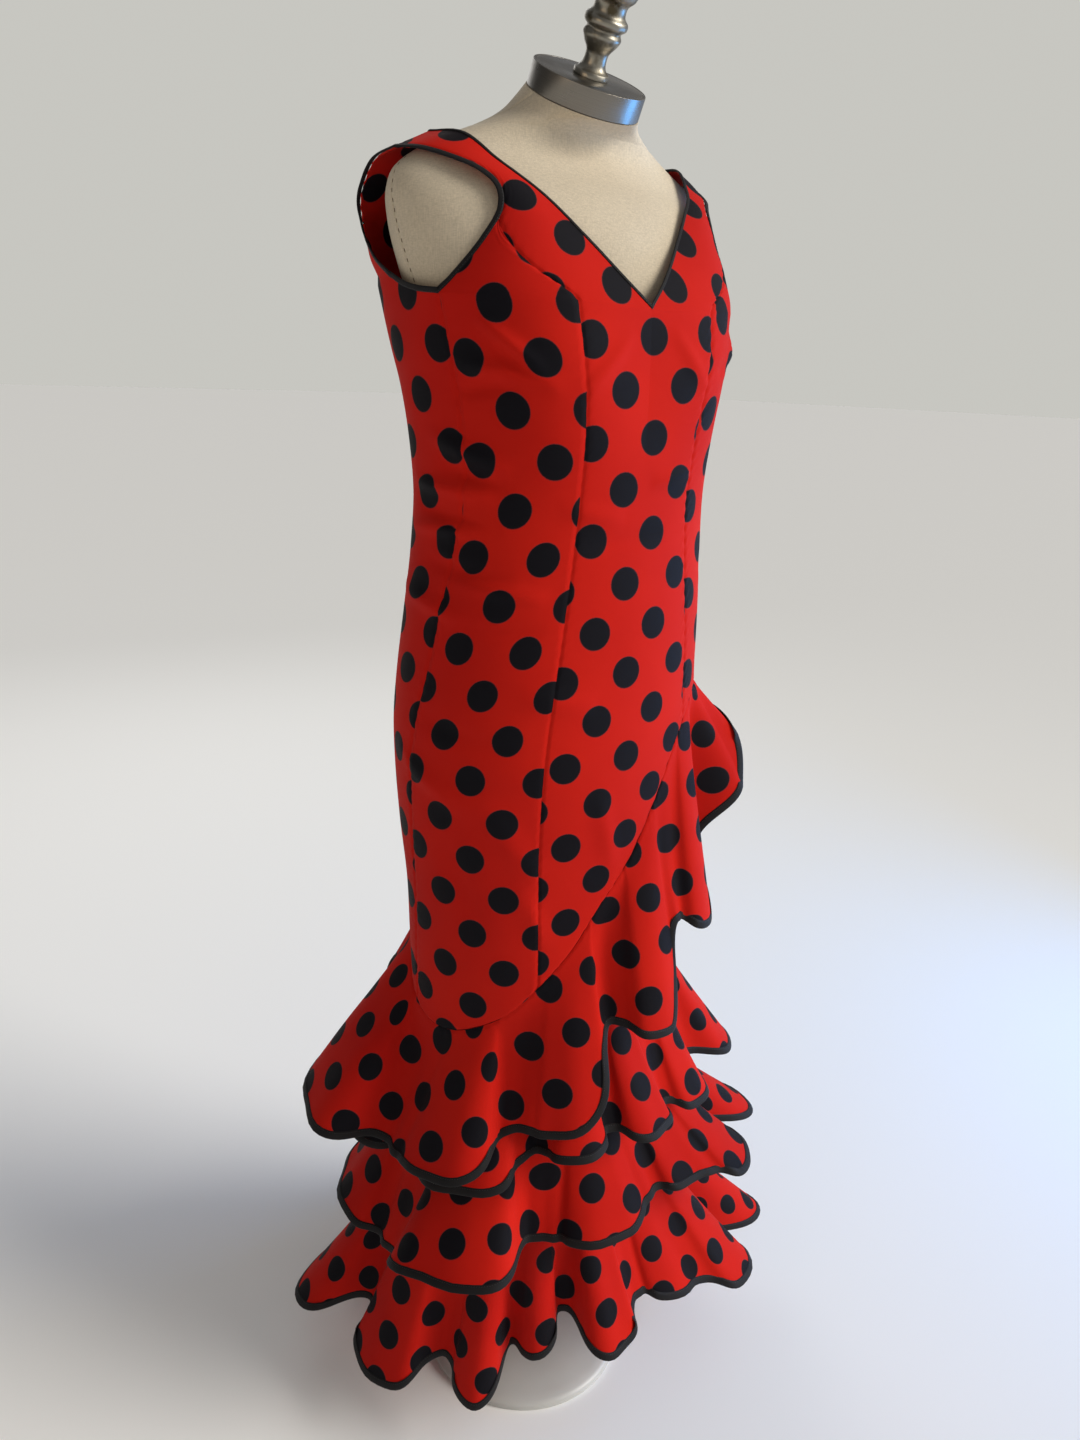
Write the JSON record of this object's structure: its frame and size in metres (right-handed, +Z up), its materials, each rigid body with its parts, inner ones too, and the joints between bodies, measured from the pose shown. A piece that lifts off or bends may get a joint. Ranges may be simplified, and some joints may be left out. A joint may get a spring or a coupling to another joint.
{
  "type": "flamenco dress on dress form",
  "caption": "Sleeveless V-neck flamenco dress with princess seams, a spiral hip flounce and a flounced hem, on a limbless dress form with neck ring, finial and stand.",
  "frame": {"origin": "centre of the stand base's underside, on the floor", "axes": "+Z up, -Y the way the wearer faces, +X towards the wearer's left"},
  "size_m": [0.6495, 0.5243, 1.7067],
  "materials": {
    "red_dotted_cotton": "plain woven cotton, matt, printed with round black dots",
    "black_bias_tape": "folded bias tape, slight sheen",
    "cream_linen": "stretched linen cover, matt",
    "brushed_steel": "brushed along its round",
    "aged_silver_casting": "turned casting with a worn silver finish",
    "painted_stand_steel": "satin grey paint",
    "black_zip_metal": "black enamelled zinc"
  },
  "bodies": {
    "dress_on_form": {"center_front": "red_dotted_cotton", "side_front_left": "red_dotted_cotton", "side_front_right": "red_dotted_cotton", "side_back_left": "red_dotted_cotton", "side_back_right": "red_dotted_cotton", "back_left": "red_dotted_cotton", "back_right": "red_dotted_cotton", "underskirt": "red_dotted_cotton", "hip_flounce": "red_dotted_cotton", "second_flounce": "red_dotted_cotton", "third_flounce": "red_dotted_cotton", "hem_flounce": "red_dotted_cotton", "neck_tape": "black_bias_tape", "armhole_tape_left": "black_bias_tape", "armhole_tape_right": "black_bias_tape", "hip_flounce_tape": "black_bias_tape", "second_flounce_tape": "black_bias_tape", "third_flounce_tape": "black_bias_tape", "hem_flounce_tape": "black_bias_tape", "zip_slider": "black_zip_metal", "form_torso": "cream_linen", "neck_ring": "brushed_steel", "finial": "aged_silver_casting", "stand_pole": "brushed_steel", "stand_base": "painted_stand_steel"},
    "zip_tab": {"zip_pull": "black_zip_metal"}
  },
  "joints": [
    {"name": "zip_pull_hinge", "type": "hinge", "parent": "dress_on_form", "child": "zip_tab", "pos_m": [0, 0.1356, 1.391], "axis": [1, 0, 0], "range_deg": [0, 150]}
  ]
}
